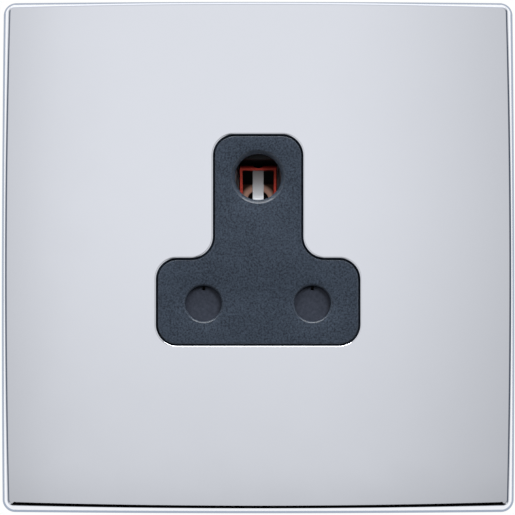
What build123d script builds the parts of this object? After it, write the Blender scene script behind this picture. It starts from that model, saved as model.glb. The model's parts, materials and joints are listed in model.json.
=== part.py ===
from build123d import *
import os

# Round-pin wall socket with a screwless plate, in millimetres.
# X runs to the right and Z up as seen by the user. The wall is the plane y = 0, the front faces -Y,
# and the origin is midway between the two box fixings, on the wall.

# Plug that it takes: round pins in a triangle, the earth pin above and longer
PIN_PITCH = 19.05
EARTH_RISE = 22.225
LINE_PIN_D = 5.08
EARTH_PIN_D = 7.06
LINE_PIN_LENGTH = 14.86
EARTH_PIN_LENGTH = 20.62

# Where the pins stand on the plate, and their apertures
LINE_Z = -8.45
EARTH_Z = LINE_Z + EARTH_RISE
LINE_X = PIN_PITCH / 2
LINE_HOLE_D = 6.3
LINE_RIM = 0.3
EARTH_HOLE_D = 8.1
EARTH_RIM = 0.7

# Clearances
RUNNING_GAP = 0.3
SEAT_GAP = 0.2
SCREW_GAP = 0.15
TOUCH_GAP = 0.05

# Chrome plate: pressed sheet, domed, with bowed sides and drafted skirt
PLATE_WIDTH = 90.0
PLATE_PROJECTION = 5.2
PLATE_SHEET = 1.0
SKIRT_DRAFT = 0.7
REAR_BOW = 0.25
FACE_BOW = 0.65
REAR_CORNER = 2.2
FACE_CORNER = 0.9
INNER_CORNER = 0.5
DOME_RADIUS = 2800.0
LIP_RADIUS = 0.2
ARRIS_RADIUS = 0.45
PLATE_HALF = PLATE_WIDTH / 2
FACE_HALF = PLATE_HALF - SKIRT_DRAFT

# Tee boss of the front moulding, and the plate's gap round it
TEE_GAP = 0.25
TEE_ARM_MARGIN = 8.02
TEE_END_MARGIN = 7.15
TEE_ARM_RISE = 7.65
TEE_STEM_HALF = 7.58
TEE_OUTER_RADIUS = 3.45
TEE_INNER_RADIUS = 4.1
TEE_EDGE = 0.3
BOSS_PROJECTION = 5.0
TEE_ARM_HALF = LINE_X + TEE_ARM_MARGIN
TEE_BOTTOM = LINE_Z - TEE_END_MARGIN
TEE_TOP = EARTH_Z + TEE_END_MARGIN
TEE_ARM_TOP = LINE_Z + TEE_ARM_RISE

# Shutter slider and its chamber
FRONT_WALL = 2.4
SHUTTER_SHEET = 1.6
SHUTTER_TRAVEL = 7.0
PAD_HALF = 4.0
PAD_RISE = 3.4
PAD_FALL = 3.7
PAD_CORNER = 0.8
PAD_NOTCH_WIDTH = 0.5
PAD_NOTCH_DEPTH = 0.95
STEM_HALF = 3.0
CHAMBER_WALL = 1.6
FLOOR_GAP = 0.65
WALL_BACK = FRONT_WALL - BOSS_PROJECTION
SHUTTER_FRONT = WALL_BACK + RUNNING_GAP
SHUTTER_BACK = SHUTTER_FRONT + SHUTTER_SHEET
DECK = SHUTTER_BACK + RUNNING_GAP
SHUTTER_HALF = LINE_X + PAD_HALF
CHAMBER_HALF = SHUTTER_HALF + RUNNING_GAP
CHAMBER_TOP = LINE_Z + PAD_RISE + RUNNING_GAP
CHAMBER_FLOOR = LINE_Z - PAD_FALL - SHUTTER_TRAVEL - FLOOR_GAP

# Red cam on top of the slider: the earth pin's end slides up its slope and pushes it down
CAM_HALF = 3.2
CAM_CHEEK = 0.45
CAM_DEPTH = 1.9
CAM_RECESS = 0.8
CAM_RAMP_RISE = 5.5
CAM_RAMP_RUN = 5.0
CAM_TOP_RISE = 2.55
CAM_BAR = 0.86
CAM_FOOT_DROP = 6.6
CAM_RAMP_DROP = 3.64
CAM_RECESS_DROP = 5.0
CAM_WINDOW_DROP = 0.97
CAM_NOTCH_RADIUS = 1.3
CAM_NOTCH_DEPTH = 0.45
KEY_HALF = 1.15
KEY_LENGTH = 2.2
KEY_GAP = 0.1
ARCH_RADIUS = 1.9
ARCH_DROP = 3.94
STRIP_HALF = 0.95
WEAR_SHEET = 0.4

# Return spring under the slider
SPRING_WIRE = 0.35
SPRING_RADIUS = 1.05
SPRING_TURNS = 7
SPRING_WIRE_SIDES = 6
SPRING_SEAT_DROP = 2.45
SPRING_POCKET_HALF = 1.6
SPRING_NUB_RADIUS = 0.55
SPRING_NUB_LENGTH = 2.0
SPRING_AXIS = SHUTTER_FRONT + SPRING_RADIUS + SPRING_WIRE / 2
SPRING_SEAT = LINE_Z + SPRING_SEAT_DROP

# Body of the front moulding and its flange behind the grid
BLOCK_FRONT = -3.6
BLOCK_HALF = 20.5
BLOCK_CORNER = 2.0
BLOCK_RISE = 9.9
THROAT_HALF = 5.4
THROAT_RISE = 5.6
FLANGE_SHEET = 2.5
FLANGE_HALF = 23.0
FLANGE_CORNER = 3.0
FLANGE_LEDGE = 5.2
BLOCK_BOTTOM = CHAMBER_FLOOR - CHAMBER_WALL
BLOCK_TOP = EARTH_Z + BLOCK_RISE
FLANGE_BOTTOM = BLOCK_BOTTOM - FLANGE_LEDGE
FLANGE_TOP = BLOCK_TOP + FLANGE_LEDGE

# Steel grid on the wall, with forward tabs for the plate's clip frame
GRID_SHEET = 1.2
GRID_CORNER = 3.0
FIXING_PITCH = 60.3
FIXING_SLOT_D = 4.0
FIXING_SLOT_LENGTH = 8.0
TAB_OFFSET = 22.0
TAB_WIDTH = 12.0
TAB_REACH = 3.4
TAB_SLOT_WIDTH = 8.4
TAB_SLOT_HEIGHT = 1.2
TAB_SLOT_FRONT = -2.9

# Clip frame bonded inside the plate
CLIP_FRONT = -3.5
CLIP_BACK = -0.2
CLIP_WALL = 3.6
CLIP_CORNER = 1.5
CLIP_RIB_REACH = 1.2
CLIP_GAP = 0.4
CLIP_OUTER = FACE_HALF - PLATE_SHEET - CLIP_GAP
CLIP_INNER = CLIP_OUTER - CLIP_WALL
GRID_HALF = CLIP_INNER - RUNNING_GAP
GRID_WIDTH = 2 * GRID_HALF

# Rear housing
HOUSING_HALF = 17.5
HOUSING_BOTTOM = -20.0
HOUSING_TOP = 21.5
HOUSING_BACK = 23.0
HOUSING_EDGE = 1.0
HOUSING_FLANGE = 4.0

# Sprung contacts: folded strip, two leaves that meet the pin and a bridge behind its end
CONTACT_SHEET = 0.5
CONTACT_SQUEEZE = 0.3
CONTACT_FLARE = 0.8
CONTACT_END_GAP = 0.9
CONTACT_BEND = 0.6
PINCH_HALF = 0.75
BRIDGE_RUN = 2.25
LINE_LEAF_HALF = 2.4
EARTH_LEAF_HALF = 3.2
LINE_TAIL_HALF = 1.4
CONTACT_FRONT = 1.6

# Pillar terminals with a clamp screw from behind
PILLAR_WIDTH = 7.6
PILLAR_DEPTH = 7.0
PILLAR_HEIGHT = 7.0
PILLAR_EDGE = 0.4
PILLAR_HOLE_D = 4.0
PILLAR_TAIL_OFFSET = 0.7
TAIL_INSERTION = 4.0
LINE_PILLAR_Z = -16.0
EARTH_PILLAR_Z = 2.75
CLAMP_SCREW_D = 3.4
CLAMP_HEAD_D = 4.6
CLAMP_HEAD_HEIGHT = 1.8
CLAMP_REACH = 2.8
SCREW_SLOT = 0.8

# Screws that hold the module to the grid
MODULE_SCREW_X = 12.0
MODULE_SCREW_D = 2.8
MODULE_HEAD_D = 4.6
MODULE_HEAD_HEIGHT = 1.5
MODULE_SCREW_LENGTH = 7.0

# Earth strap between the earth terminal and the grid
STRAP_SHEET = 0.6
STRAP_HALF = 3.0
STRAP_BEND = 0.5
STRAP_FOOT = 4.8
STRAP_STAND_OFF = 0.1
STRAP_STEP_RISE = 2.4
RIVET_D = 2.4
RIVET_HEAD_D = 4.4
RIVET_HEAD_HEIGHT = 0.9

OVERCUT = 1.0
TOLERANCE = 1e-4


def front(depth):
    """Drawing plane that faces the user at a depth from the wall: X right, Z up."""
    return Plane(origin=(0, depth, 0), x_dir=(1, 0, 0), z_dir=(0, -1, 0))


def slab(outline, near, far):
    """Solid with a front-view outline between two depths."""
    return extrude(front(far) * outline, far - near)


def side_band(profile, half_width):
    """Solid with a side-view (Y, Z) profile, as wide to the left as to the right."""
    return extrude(Plane.YZ * profile, half_width, both=True)


def span(x_low, x_high, z_low, z_high):
    """Front-view rectangle given by its edges."""
    middle = Pos((x_low + x_high) / 2, (z_low + z_high) / 2)
    return middle * Rectangle(x_high - x_low, z_high - z_low)


def rounded_span(x_low, x_high, z_low, z_high, corner):
    """Front-view rectangle given by its edges, with round corners."""
    middle = Pos((x_low + x_high) / 2, (z_low + z_high) / 2)
    return middle * RectangleRounded(x_high - x_low, z_high - z_low, corner)


def disc(x, z, diameter):
    """Front-view circle."""
    return Pos(x, z) * Circle(diameter / 2)


def bowed_square(half, bow, corner):
    """Square whose sides bow outwards to the half width, with round corners."""
    reach = half - bow
    sides = [
        ThreePointArc((-reach, reach), (0, half), (reach, reach)).rotate(Axis.Z, 90 * turn)
        for turn in range(4)
    ]
    return fillet(make_face(sides).vertices(), corner)


def tee(grow):
    """Tee outline of the boss, grown by a gap all round."""
    outer = TEE_OUTER_RADIUS + grow
    arm_top = TEE_ARM_TOP + grow
    stem_half = TEE_STEM_HALF + grow
    arm_half = TEE_ARM_HALF + grow
    arms = rounded_span(-arm_half, arm_half, TEE_BOTTOM - grow, arm_top, outer)
    stem = rounded_span(-stem_half, stem_half, LINE_Z - TEE_ARM_RISE / 2, TEE_TOP + grow, outer)
    outline = arms + stem
    corners = [v for v in outline.vertices()
               if abs(v.Y - arm_top) < TOLERANCE and abs(abs(v.X) - stem_half) < TOLERANCE]
    return fillet(corners, TEE_INNER_RADIUS - grow)


def chamber(shrink):
    """Outline of the shutter's chamber: wide for the pads, narrow for the cam above."""
    wide = span(-CHAMBER_HALF + shrink, CHAMBER_HALF - shrink,
                CHAMBER_FLOOR + shrink, CHAMBER_TOP - shrink)
    throat = span(-THROAT_HALF + shrink, THROAT_HALF - shrink,
                  LINE_Z, EARTH_Z + THROAT_RISE - shrink)
    return wide + throat


def module_screw_places():
    """Front-view places of the four screws through grid and flanges."""
    low = BLOCK_BOTTOM - FLANGE_LEDGE / 2 - SEAT_GAP
    high = BLOCK_TOP + FLANGE_LEDGE / 2 + SEAT_GAP
    return [(x, z) for x in (-MODULE_SCREW_X, MODULE_SCREW_X) for z in (low, high)]


def plate_block(inset, rear_corner, face_corner):
    """Drafted and domed block: the plate's outside, or its inside when inset by the sheet."""
    rear = front(0) * bowed_square(PLATE_HALF - inset, REAR_BOW, rear_corner)
    face = front(-PLATE_PROJECTION) * bowed_square(FACE_HALF - inset, FACE_BOW, face_corner)
    dome = Pos(0, DOME_RADIUS - PLATE_PROJECTION, 0) * Sphere(DOME_RADIUS - inset)
    return loft([rear, face]) & dome


def make_front_plate():
    """Pressed plate: drafted skirt, domed face with a soft arris, tee cut-out with a rounded lip."""
    outside = plate_block(0, REAR_CORNER, FACE_CORNER)
    outside = fillet(outside.faces().sort_by(Axis.Y)[0].edges(), ARRIS_RADIUS)
    inside = plate_block(PLATE_SHEET, REAR_CORNER - PLATE_SHEET, INNER_CORNER)
    plate = outside - inside - slab(tee(TEE_GAP), -PLATE_PROJECTION - OVERCUT, 0)
    mouth = -PLATE_PROJECTION + PLATE_SHEET / 2
    lip = [edge for edge in plate.edges()
           if edge.bounding_box().max.Y < mouth
           and max(abs(edge.center().X), abs(edge.center().Z)) < TEE_TOP + TEE_GAP + OVERCUT]
    return fillet(lip, LIP_RADIUS)


def tab_turns():
    """Turns about Y that carry a tab of the right-hand side to each of the eight places."""
    return [(turn, offset) for turn in range(4) for offset in (-TAB_OFFSET, TAB_OFFSET)]


def make_clip_frame():
    """Frame inside the plate's skirt, with a rib that snaps into each tab of the grid."""
    ring = bowed_square(CLIP_OUTER, FACE_BOW, CLIP_CORNER) - Rectangle(2 * CLIP_INNER, 2 * CLIP_INNER)
    frame = slab(ring, CLIP_FRONT, CLIP_BACK)
    half_rib = TAB_SLOT_WIDTH / 2 - RUNNING_GAP
    for turn, offset in tab_turns():
        rib = slab(
            span(CLIP_INNER - CLIP_RIB_REACH, CLIP_INNER, offset - half_rib, offset + half_rib),
            TAB_SLOT_FRONT + SEAT_GAP / 2, TAB_SLOT_FRONT + TAB_SLOT_HEIGHT - SEAT_GAP / 2)
        frame += rib.rotate(Axis.Y, 90 * turn)
    return frame


def make_grid():
    """Pressed steel grid: window, fixing slots, screw holes and eight tabs bent forward."""
    window = rounded_span(
        -BLOCK_HALF - SEAT_GAP, BLOCK_HALF + SEAT_GAP,
        BLOCK_BOTTOM - SEAT_GAP, BLOCK_TOP + SEAT_GAP, BLOCK_CORNER)
    sheet = RectangleRounded(GRID_WIDTH, GRID_WIDTH, GRID_CORNER) - window
    for side in (-1, 1):
        sheet -= Pos(side * FIXING_PITCH / 2, 0) * SlotOverall(FIXING_SLOT_LENGTH, FIXING_SLOT_D)
    for x, z in module_screw_places():
        sheet -= disc(x, z, MODULE_SCREW_D + 2 * SCREW_GAP)
    sheet -= disc(0, rivet_height(), RIVET_D + 2 * TOUCH_GAP)
    grid = slab(sheet, -GRID_SHEET, 0)
    for turn, offset in tab_turns():
        tab = slab(
            span(GRID_HALF - GRID_SHEET, GRID_HALF, offset - TAB_WIDTH / 2, offset + TAB_WIDTH / 2),
            -TAB_REACH, 0)
        tab -= slab(
            span(GRID_HALF - GRID_SHEET, GRID_HALF,
                 offset - TAB_SLOT_WIDTH / 2, offset + TAB_SLOT_WIDTH / 2),
            TAB_SLOT_FRONT, TAB_SLOT_FRONT + TAB_SLOT_HEIGHT)
        grid += tab.rotate(Axis.Y, 90 * turn)
    return grid


def make_socket_front():
    """Front moulding: tee boss, chamber for the shutter, apertures and the flange."""
    block = slab(
        rounded_span(-BLOCK_HALF, BLOCK_HALF, BLOCK_BOTTOM, BLOCK_TOP, BLOCK_CORNER), BLOCK_FRONT, 0)
    flange = slab(
        rounded_span(-FLANGE_HALF, FLANGE_HALF, FLANGE_BOTTOM, FLANGE_TOP, FLANGE_CORNER),
        0, FLANGE_SHEET)
    boss = slab(tee(0), -BOSS_PROJECTION, BLOCK_FRONT)
    boss = fillet(boss.faces().sort_by(Axis.Y)[0].edges(), TEE_EDGE)
    body = boss + block + flange - slab(chamber(0), WALL_BACK, FLANGE_SHEET)
    for x in (-LINE_X, LINE_X):
        body -= aperture(x, LINE_Z, LINE_HOLE_D, LINE_RIM)
    body -= aperture(0, EARTH_Z, EARTH_HOLE_D, EARTH_RIM)
    for x, z in module_screw_places():
        body -= slab(disc(x, z, MODULE_SCREW_D + 2 * SCREW_GAP), 0, FLANGE_SHEET)
    return body


def aperture(x, z, diameter, rim):
    """Cutter for a pin aperture through the front wall, with a conical rim."""
    bore = slab(disc(x, z, diameter), -BOSS_PROJECTION, WALL_BACK)
    mouth = front(-BOSS_PROJECTION) * disc(x, z, diameter + 2 * rim)
    throat = front(rim - BOSS_PROJECTION) * disc(x, z, diameter)
    return bore + loft([mouth, throat])


def make_shutter():
    """Slider: two pads joined by a web, a stem for the cam and a pocket for the spring."""
    top = LINE_Z + PAD_RISE
    stem_top = EARTH_Z - CAM_FOOT_DROP
    outline = rounded_span(-SHUTTER_HALF, SHUTTER_HALF, LINE_Z - PAD_FALL, top, PAD_CORNER)
    outline += span(-STEM_HALF, STEM_HALF, LINE_Z, stem_top)
    outline -= span(-SPRING_POCKET_HALF, SPRING_POCKET_HALF, LINE_Z - PAD_FALL, SPRING_SEAT)
    key_half = KEY_HALF + KEY_GAP
    outline -= span(-key_half, key_half, stem_top - KEY_LENGTH - KEY_GAP, stem_top)
    for x in (-LINE_X, LINE_X):
        notch = PAD_NOTCH_WIDTH / 2
        outline -= span(x - notch, x + notch, top - PAD_NOTCH_DEPTH, top)
    nub = Pos(0, SPRING_AXIS, SPRING_SEAT - SPRING_NUB_LENGTH / 2)
    nub *= Cylinder(SPRING_NUB_RADIUS, SPRING_NUB_LENGTH)
    return slab(outline, SHUTTER_FRONT, SHUTTER_BACK) + nub


def ramp_depth(z):
    """Depth of the cam's sloping front at a height; level with the slider below the slope."""
    start = EARTH_Z - CAM_RAMP_DROP
    return SHUTTER_FRONT + max(z - start, 0) * CAM_RAMP_RUN / CAM_RAMP_RISE


def ramp_band(z_low, z_high, near, far, half_width):
    """Sheet that follows the cam's front between two heights and two depths behind it."""
    heights = [z_low, EARTH_Z - CAM_RAMP_DROP, z_high]
    fore = [(ramp_depth(z) + near, z) for z in heights]
    back = [(ramp_depth(z) + far, z) for z in reversed(heights)]
    return side_band(make_face(Polyline(*fore, *back, close=True)), half_width)


def make_cam():
    """Red frame: a sloping channel with a window, standing on a key in the slider's stem."""
    foot = EARTH_Z - CAM_FOOT_DROP
    top = EARTH_Z + CAM_TOP_RISE
    bar = top - CAM_BAR
    inner = CAM_HALF - CAM_CHEEK
    slope = ramp_band(foot, top, 0, CAM_DEPTH, CAM_HALF)
    slope -= slab(span(-CAM_HALF, CAM_HALF, foot, EARTH_Z - CAM_RAMP_DROP),
                  SHUTTER_BACK, SHUTTER_BACK + CAM_DEPTH)
    key = slab(span(-KEY_HALF, KEY_HALF, foot - KEY_LENGTH, foot), SHUTTER_FRONT, SHUTTER_BACK)
    recess = ramp_band(EARTH_Z - CAM_RECESS_DROP, bar, -OVERCUT, CAM_RECESS, inner)
    behind = ramp_depth(top) + CAM_DEPTH
    window = slab(span(-inner, inner, EARTH_Z - CAM_WINDOW_DROP, bar), SHUTTER_FRONT, behind)
    arch = slab(disc(0, EARTH_Z - ARCH_DROP, 2 * ARCH_RADIUS), SHUTTER_FRONT, behind)
    notch_z = top + CAM_NOTCH_RADIUS - CAM_NOTCH_DEPTH
    notch = slab(disc(0, notch_z, 2 * CAM_NOTCH_RADIUS), SHUTTER_FRONT, behind)
    return slope + key - recess - window - arch - notch


def make_wear_plate():
    """Plated sheet in the cam's recess: an arched hole and a raised strip up to the bar."""
    low = EARTH_Z - CAM_RECESS_DROP + TOUCH_GAP
    bar = EARTH_Z + CAM_TOP_RISE - CAM_BAR
    inner = CAM_HALF - CAM_CHEEK - SEAT_GAP / 2
    lift = CAM_RECESS - WEAR_SHEET
    base = ramp_band(low, EARTH_Z - CAM_WINDOW_DROP, lift, CAM_RECESS, inner)
    base -= slab(disc(0, EARTH_Z - ARCH_DROP, 2 * ARCH_RADIUS),
                 SHUTTER_FRONT, SHUTTER_FRONT + 2 * CAM_RECESS_DROP)
    strip = ramp_band(low, bar - TOUCH_GAP, lift - WEAR_SHEET, lift, STRIP_HALF)
    return base + strip


def make_spring():
    """Coil between the slider's pocket and the chamber floor, its wire drawn with six sides."""
    low = CHAMBER_FLOOR + SPRING_WIRE / 2 + TOUCH_GAP
    high = SPRING_SEAT - SPRING_WIRE / 2 - TOUCH_GAP
    path = Helix((high - low) / SPRING_TURNS, high - low, SPRING_RADIUS, center=(0, SPRING_AXIS, low))
    section = RegularPolygon(SPRING_WIRE / 2, SPRING_WIRE_SIDES)
    wire = Plane(origin=path @ 0, z_dir=path % 0) * section
    return sweep(wire, path=path, is_frenet=True)


def contact_back(pin_length):
    """Depth of the middle of a contact's bridge, just behind the pin's end."""
    return pin_length - BOSS_PROJECTION + CONTACT_END_GAP


def contact(pin_d, pin_length, leaf_half, tail_length):
    """Contact about its pin's axis: leaves that pinch the pin, bridge and tail to the terminal."""
    pinch = (pin_d + CONTACT_SHEET - CONTACT_SQUEEZE) / 2
    open_half = pinch + CONTACT_FLARE
    back = contact_back(pin_length)
    throat = (CONTACT_FRONT + back) / 2
    right = [(open_half, CONTACT_FRONT), (pinch, throat - PINCH_HALF), (pinch, throat + PINCH_HALF),
             (open_half, back - BRIDGE_RUN), (open_half, back)]
    left = [(-x, y) for x, y in reversed(right)]
    strip = trace(FilletPolyline(*right, *left, radius=CONTACT_BEND), CONTACT_SHEET)
    leaves = extrude(strip, leaf_half, both=True)
    tail = span(-LINE_TAIL_HALF, LINE_TAIL_HALF, -leaf_half - tail_length, 0)
    return leaves + slab(tail, back - CONTACT_SHEET / 2, back + CONTACT_SHEET / 2)


def tail_length(pin_z, leaf_half, pillar_z):
    """Length of a contact's tail, from its leaves down into the pillar's wire hole."""
    return pin_z - leaf_half - pillar_z - PILLAR_HEIGHT / 2 + TAIL_INSERTION


def make_line_contact(x):
    """Contact of a line pin at its place."""
    tail = tail_length(LINE_Z, LINE_LEAF_HALF, LINE_PILLAR_Z)
    return Pos(x, 0, LINE_Z) * contact(LINE_PIN_D, LINE_PIN_LENGTH, LINE_LEAF_HALF, tail)


def make_earth_contact():
    """Contact of the earth pin at its place."""
    tail = tail_length(EARTH_Z, EARTH_LEAF_HALF, EARTH_PILLAR_Z)
    return Pos(0, 0, EARTH_Z) * contact(EARTH_PIN_D, EARTH_PIN_LENGTH, EARTH_LEAF_HALF, tail)


def pillar_places():
    """Middle of each pillar: x, depth of the wire hole, z."""
    line = contact_back(LINE_PIN_LENGTH) + PILLAR_TAIL_OFFSET
    earth = contact_back(EARTH_PIN_LENGTH) + PILLAR_TAIL_OFFSET
    return {
        "live": (LINE_X, line, LINE_PILLAR_Z),
        "neutral": (-LINE_X, line, LINE_PILLAR_Z),
        "earth": (0, earth, EARTH_PILLAR_Z),
    }


def make_pillar(place):
    """Brass pillar: wire hole from top to bottom, clamp screw hole from behind."""
    x, depth, z = place
    block = Box(PILLAR_WIDTH, PILLAR_DEPTH, PILLAR_HEIGHT)
    block = chamfer(block.edges().filter_by(Axis.Z), PILLAR_EDGE)
    wire = Cylinder(PILLAR_HOLE_D / 2, PILLAR_HEIGHT)
    screw = slab(disc(0, 0, CLAMP_SCREW_D + 2 * SCREW_GAP), 0, PILLAR_DEPTH / 2)
    return Pos(x, depth, z) * (block - wire - screw)


def slotted_screw(shank_d, head_d, head_height, length):
    """Screw along Y with the underside of its head at the origin and its shank towards +Y."""
    head = slab(disc(0, 0, head_d), -head_height, 0)
    head -= slab(Rectangle(head_d, SCREW_SLOT), -head_height, -head_height / 2)
    return head + slab(disc(0, 0, shank_d), 0, length)


def make_clamp_screw(place, packing):
    """Clamp screw of a pillar, head to the rear, with room for a packing under its head."""
    x, depth, z = place
    screw = slotted_screw(CLAMP_SCREW_D, CLAMP_HEAD_D, CLAMP_HEAD_HEIGHT, CLAMP_REACH + packing)
    return Pos(x, depth + PILLAR_DEPTH / 2 + packing, z) * screw.rotate(Axis.Z, 180)


def make_line_screws():
    """The clamp screws of the two line terminals."""
    places = pillar_places()
    return Compound(children=[make_clamp_screw(places[name], 0) for name in ("live", "neutral")])


def make_module_screws():
    """The four screws through grid and front flange into the rear housing."""
    screws = [
        Pos(x, -GRID_SHEET, z)
        * slotted_screw(MODULE_SCREW_D, MODULE_HEAD_D, MODULE_HEAD_HEIGHT, MODULE_SCREW_LENGTH)
        for x, z in module_screw_places()
    ]
    return Compound(children=screws)


def rivet_height():
    """Height of the strap's rivet on the grid."""
    return FLANGE_TOP + STRAP_STAND_OFF + STRAP_SHEET + STRAP_FOOT / 2 + SEAT_GAP


def strap_clamp_depth():
    """Depth of the middle of the strap where it lies on the earth pillar."""
    return pillar_places()["earth"][1] + (PILLAR_DEPTH + STRAP_SHEET) / 2


def strap_step():
    """Height at which the strap steps out of the housing."""
    return EARTH_PILLAR_Z + PILLAR_HEIGHT / 2 + STRAP_STEP_RISE


def make_strap():
    """Folded strap: from the earth pillar over the housing and the flange to the grid."""
    away = STRAP_STAND_OFF + STRAP_SHEET / 2
    clamp = strap_clamp_depth()
    behind_flange = FLANGE_SHEET + HOUSING_FLANGE + away
    points = [
        (clamp, EARTH_PILLAR_Z - CLAMP_HEAD_D / 2),
        (clamp, strap_step()),
        (HOUSING_BACK + away, strap_step()),
        (HOUSING_BACK + away, HOUSING_TOP + away),
        (behind_flange, HOUSING_TOP + away),
        (behind_flange, FLANGE_TOP + away),
        (STRAP_SHEET / 2, FLANGE_TOP + away),
        (STRAP_SHEET / 2, rivet_height() + STRAP_FOOT / 2),
    ]
    strap = side_band(trace(FilletPolyline(*points, radius=STRAP_BEND), STRAP_SHEET), STRAP_HALF)
    strap -= slab(disc(0, EARTH_PILLAR_Z, CLAMP_SCREW_D + 2 * SCREW_GAP),
                  clamp - STRAP_SHEET, clamp + STRAP_SHEET)
    return strap - slab(disc(0, rivet_height(), RIVET_D + 2 * TOUCH_GAP), 0, STRAP_SHEET)


def make_rivet():
    """Rivet through grid and strap, with a head on each side."""
    shank = slab(disc(0, rivet_height(), RIVET_D), -GRID_SHEET, STRAP_SHEET)
    near = slab(disc(0, rivet_height(), RIVET_HEAD_D), -GRID_SHEET - RIVET_HEAD_HEIGHT, -GRID_SHEET)
    far = slab(disc(0, rivet_height(), RIVET_HEAD_D), STRAP_SHEET, STRAP_SHEET + RIVET_HEAD_HEIGHT)
    return shank + near + far


def contact_pocket(x, z, pin_d, pin_length, leaf_half, pillar_z):
    """Cutter for a contact: room for its leaves and a slot for its tail."""
    back = contact_back(pin_length) + CONTACT_SHEET / 2 + SEAT_GAP
    room = (pin_d + 2 * CONTACT_SHEET) / 2 + CONTACT_FLARE + SEAT_GAP
    high = leaf_half + SEAT_GAP
    pocket = slab(span(x - room, x + room, z - high, z + high), DECK, back)
    tail = LINE_TAIL_HALF + SEAT_GAP
    slot = span(x - tail, x + tail, pillar_z + PILLAR_HEIGHT / 2, z)
    return pocket + slab(slot, back - CONTACT_SHEET - 2 * SEAT_GAP, back)


def pillar_well(place, open_to):
    """Cutter for a pillar, from behind, with a way for the wire from below."""
    x, depth, z = place
    half = PILLAR_WIDTH / 2 + SEAT_GAP
    well = slab(span(x - half, x + half, open_to, z + PILLAR_HEIGHT / 2 + SEAT_GAP),
                depth - PILLAR_DEPTH / 2 - SEAT_GAP, HOUSING_BACK)
    if open_to > HOUSING_BOTTOM:
        wire = PILLAR_HOLE_D / 2 + SEAT_GAP
        well += slab(span(x - wire, x + wire, HOUSING_BOTTOM, z), depth - wire, HOUSING_BACK)
    return well


def pin_ways():
    """Cutter for the three contacts' pockets and the cam's travel."""
    cutter = cam_way()
    for x in (-LINE_X, LINE_X):
        cutter += contact_pocket(x, LINE_Z, LINE_PIN_D, LINE_PIN_LENGTH, LINE_LEAF_HALF, LINE_PILLAR_Z)
    return cutter + contact_pocket(
        0, EARTH_Z, EARTH_PIN_D, EARTH_PIN_LENGTH, EARTH_LEAF_HALF, EARTH_PILLAR_Z)


def make_deck():
    """Plate that closes the shutter's chamber from behind and guides the slider."""
    return slab(chamber(SEAT_GAP), DECK, FLANGE_SHEET) - pin_ways() - spring_way()


def make_rear_housing():
    """Rear moulding: flange, pockets for the contacts and wells for the terminals."""
    body = slab(span(-HOUSING_HALF, HOUSING_HALF, HOUSING_BOTTOM, HOUSING_TOP),
                FLANGE_SHEET, HOUSING_BACK)
    body = chamfer(body.faces().sort_by(Axis.Y)[-1].edges(), HOUSING_EDGE)
    body += slab(
        rounded_span(-FLANGE_HALF, FLANGE_HALF, FLANGE_BOTTOM, FLANGE_TOP, FLANGE_CORNER),
        FLANGE_SHEET, FLANGE_SHEET + HOUSING_FLANGE)
    for x, z in module_screw_places():
        body -= slab(disc(x, z, MODULE_SCREW_D + SCREW_GAP), FLANGE_SHEET,
                     MODULE_SCREW_LENGTH - GRID_SHEET + SEAT_GAP)
    places = pillar_places()
    for name in ("live", "neutral"):
        body -= pillar_well(places[name], HOUSING_BOTTOM)
    body -= pillar_well(places["earth"], EARTH_PILLAR_Z - PILLAR_HEIGHT / 2 - SEAT_GAP)
    body -= pin_ways()
    strap_half = STRAP_HALF + SEAT_GAP
    step = strap_step() + STRAP_SHEET / 2 + SEAT_GAP
    body -= slab(span(-strap_half, strap_half, EARTH_PILLAR_Z, step),
                 strap_clamp_depth() - STRAP_SHEET / 2 - SEAT_GAP, HOUSING_BACK)
    return body


def cam_way():
    """Cutter for the cam's travel in the deck."""
    half = CAM_HALF + RUNNING_GAP
    low = EARTH_Z - CAM_RAMP_DROP - SHUTTER_TRAVEL - 2 * RUNNING_GAP
    high = EARTH_Z + CAM_TOP_RISE + RUNNING_GAP
    return slab(span(-half, half, low, high), DECK,
                ramp_depth(EARTH_Z + CAM_TOP_RISE) + CAM_DEPTH + RUNNING_GAP)


def spring_way():
    """Cutter for the spring's groove in the deck."""
    top = SPRING_SEAT + 2 * RUNNING_GAP
    return slab(span(-SPRING_POCKET_HALF, SPRING_POCKET_HALF, CHAMBER_FLOOR, top), DECK,
                SPRING_AXIS + SPRING_RADIUS + SPRING_WIRE / 2 + RUNNING_GAP)


PILLARS = pillar_places()
NODES = {
    "front_plate": make_front_plate(),
    "plate_clip_frame": make_clip_frame(),
    "mounting_grid": make_grid(),
    "socket_front": make_socket_front(),
    "shutter_deck": make_deck(),
    "rear_housing": make_rear_housing(),
    "shutter": make_shutter(),
    "shutter_cam": make_cam(),
    "cam_wear_plate": make_wear_plate(),
    "shutter_spring": make_spring(),
    "live_contact": make_line_contact(LINE_X),
    "neutral_contact": make_line_contact(-LINE_X),
    "earth_contact": make_earth_contact(),
    "live_terminal": make_pillar(PILLARS["live"]),
    "neutral_terminal": make_pillar(PILLARS["neutral"]),
    "earth_terminal": make_pillar(PILLARS["earth"]),
    "line_terminal_screws": make_line_screws(),
    "earth_terminal_screw": make_clamp_screw(PILLARS["earth"], STRAP_SHEET),
    "module_screws": make_module_screws(),
    "earth_strap": make_strap(),
    "strap_rivet": make_rivet(),
}

os.makedirs("parts", exist_ok=True)
for node, shape in NODES.items():
    export_step(shape, f"parts/{node}.step")
    print(node, len(shape.solids()), round(shape.volume, 2))
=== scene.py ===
# %% [markdown]
# # A chrome wall socket for round pins
# This lesson dresses the solids of a wall socket so that it looks as it does in a studio
# photograph. A polished square plate is clipped over a dark tee-shaped moulding with three round
# apertures. The solids come with their bodies and joints, so every piece made here only says which
# body it rides on.

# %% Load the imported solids
import json
import math

import bmesh
import bpy
import numpy as np
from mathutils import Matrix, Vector
from mathutils.geometry import delaunay_2d_cdt


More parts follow.
